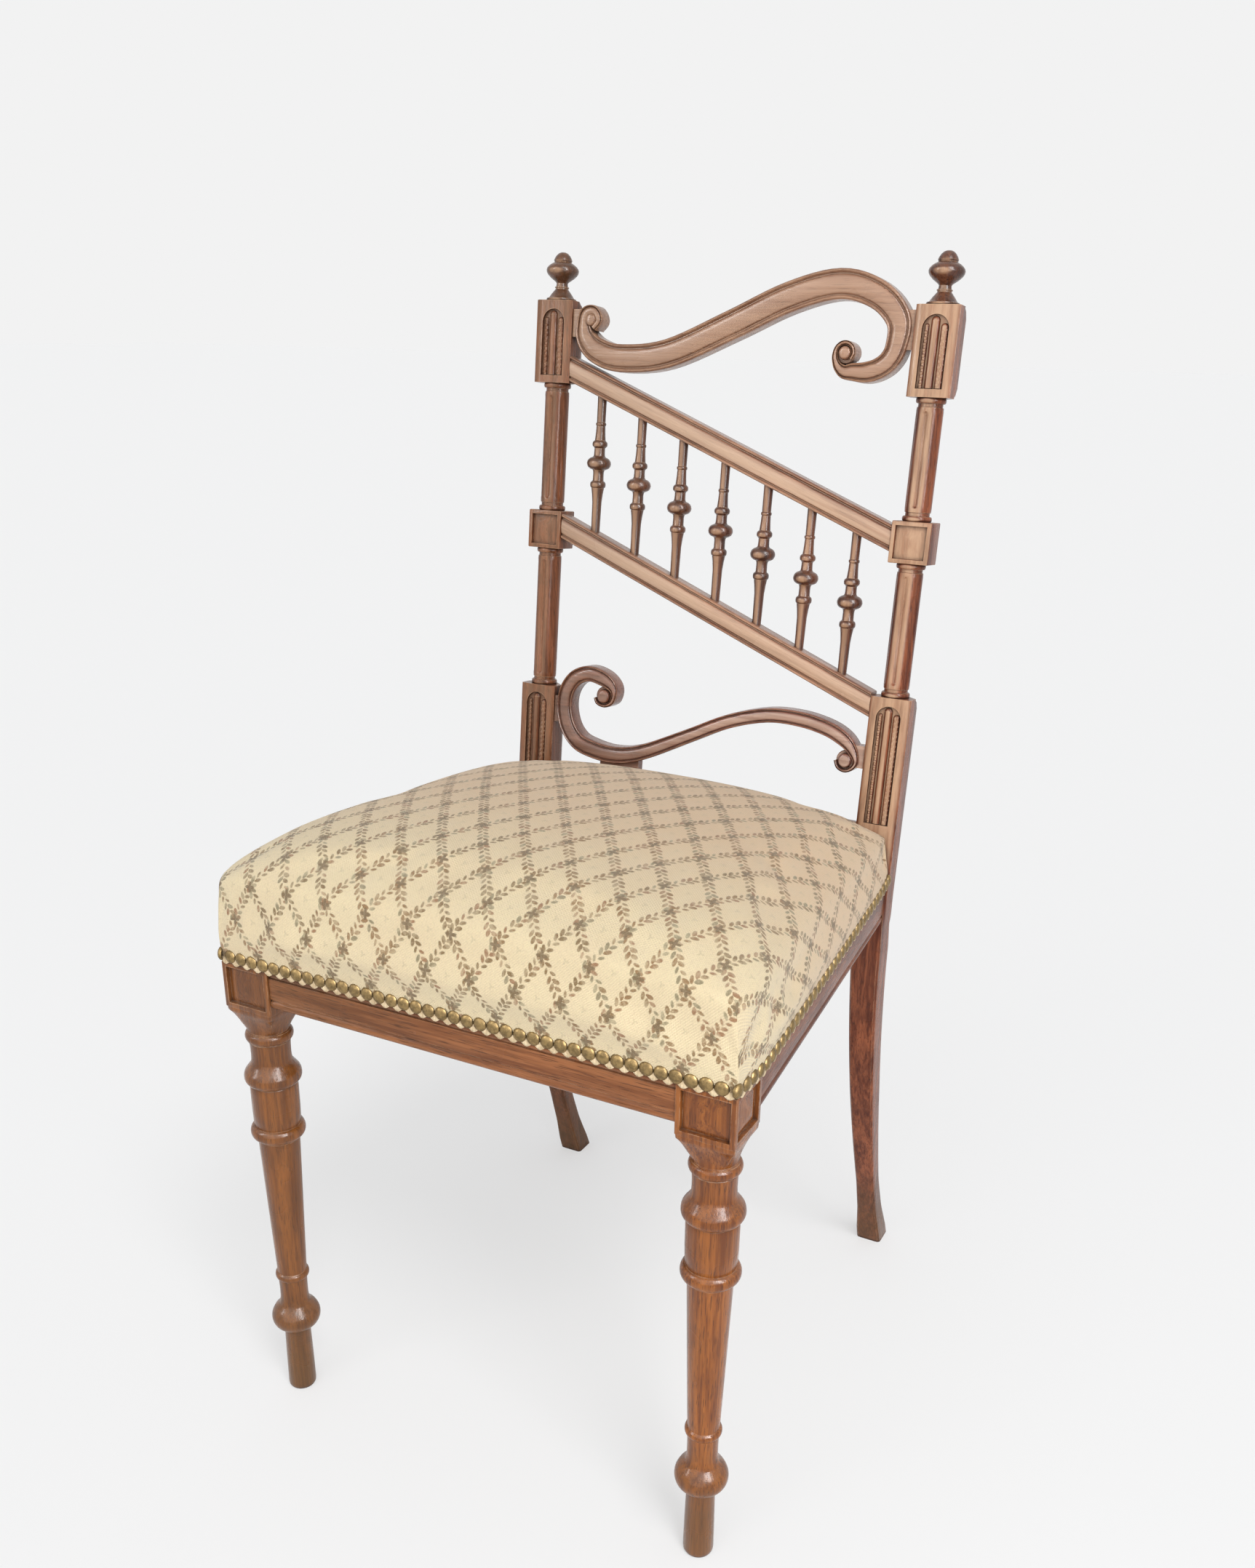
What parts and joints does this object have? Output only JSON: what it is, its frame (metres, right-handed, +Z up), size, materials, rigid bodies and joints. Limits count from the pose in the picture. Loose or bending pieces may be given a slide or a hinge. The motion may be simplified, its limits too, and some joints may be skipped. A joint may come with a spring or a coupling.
{
  "type": "upholstered side chair",
  "caption": "Upholstered side chair with turned front legs, swept back legs, a leaning open back of scrolls, slanting rails and turned spindles, and a domed patterned seat edged with nails.",
  "frame": {"origin": "on the floor, under the middle of the chair's bounding box", "axes": "+Z up, -Y towards the sitter's front (the seat's nailed front edge), +X to the viewer's right when facing the chair"},
  "size_m": [0.4406, 0.4972, 0.9183],
  "materials": {
    "show_wood": "old polished reddish walnut, worn lighter on edges and high points, dark dirt in grooves",
    "frame_wood": "plain unpolished beech glue blocks",
    "cover_cloth": "worn cream damask with a diamond trellis of small olive and brown leaf sprigs",
    "jute": "coarse brown jute webbing and hessian",
    "horsehair": "matted dark horsehair stuffing",
    "nail_brass": "dull old brass upholstery nails, set side by side, with dark wax between them"
  },
  "bodies": {
    "root": {"back_seat_rail": "show_wood", "corner_block_front_left": "frame_wood", "corner_block_front_right": "frame_wood", "corner_block_rear_left": "frame_wood", "corner_block_rear_right": "frame_wood", "crest_scroll": "show_wood", "finial_left": "show_wood", "finial_right": "show_wood", "front_leg_left": "show_wood", "front_leg_right": "show_wood", "front_seat_rail": "show_wood", "lower_diagonal_rail": "show_wood", "lower_scroll": "show_wood", "rear_post_left": "show_wood", "rear_post_right": "show_wood", "seat_cover": "cover_cloth", "seat_hessian": "jute", "seat_stuffing": "horsehair", "side_seat_rail_left": "show_wood", "side_seat_rail_right": "show_wood", "spindle_1": "show_wood", "spindle_2": "show_wood", "spindle_3": "show_wood", "spindle_4": "show_wood", "spindle_5": "show_wood", "spindle_6": "show_wood", "spindle_7": "show_wood", "upper_diagonal_rail": "show_wood", "webbing_cross_1": "jute", "webbing_cross_2": "jute", "webbing_cross_3": "jute", "webbing_long_1": "jute", "webbing_long_2": "jute", "webbing_long_3": "jute"}
  },
  "joints": []
}
